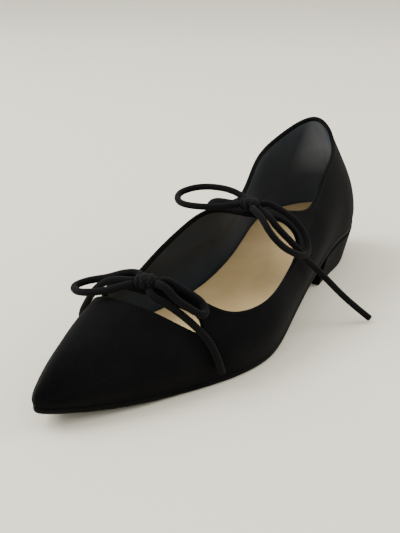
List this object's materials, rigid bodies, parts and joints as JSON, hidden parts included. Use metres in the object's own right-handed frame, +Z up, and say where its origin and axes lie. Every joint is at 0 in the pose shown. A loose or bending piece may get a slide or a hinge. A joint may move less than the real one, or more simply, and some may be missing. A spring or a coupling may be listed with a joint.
{
  "type": "flat shoe",
  "caption": "Black suede pointed-toe flat, left shoe, with a keyhole vamp, an instep strap, cord bows and a low block heel.",
  "frame": {"origin": "middle of the shoe's footprint box, on the floor", "axes": "+X from heel to toe, +Y to the outer side of the foot, +Z up"},
  "size_m": [0.2512, 0.097, 0.0759],
  "materials": {
    "suede": "brushed black suede",
    "insole_leather": "smooth beige leather",
    "sole_leather": "black dyed edge",
    "heel_cover": "black suede cover",
    "bow_cord": "soft black round cord"
  },
  "bodies": {
    "root": {"upper": "suede", "insole": "insole_leather", "outsole": "sole_leather", "heel": "heel_cover", "vamp_knot": "bow_cord", "vamp_loop_lateral": "bow_cord", "vamp_loop_medial": "bow_cord", "vamp_tail_lateral": "bow_cord", "vamp_tail_medial": "bow_cord", "instep_knot": "bow_cord", "instep_loop_lateral": "bow_cord", "instep_loop_medial": "bow_cord", "instep_tail_lateral": "bow_cord", "instep_tail_medial": "bow_cord"}
  },
  "joints": []
}
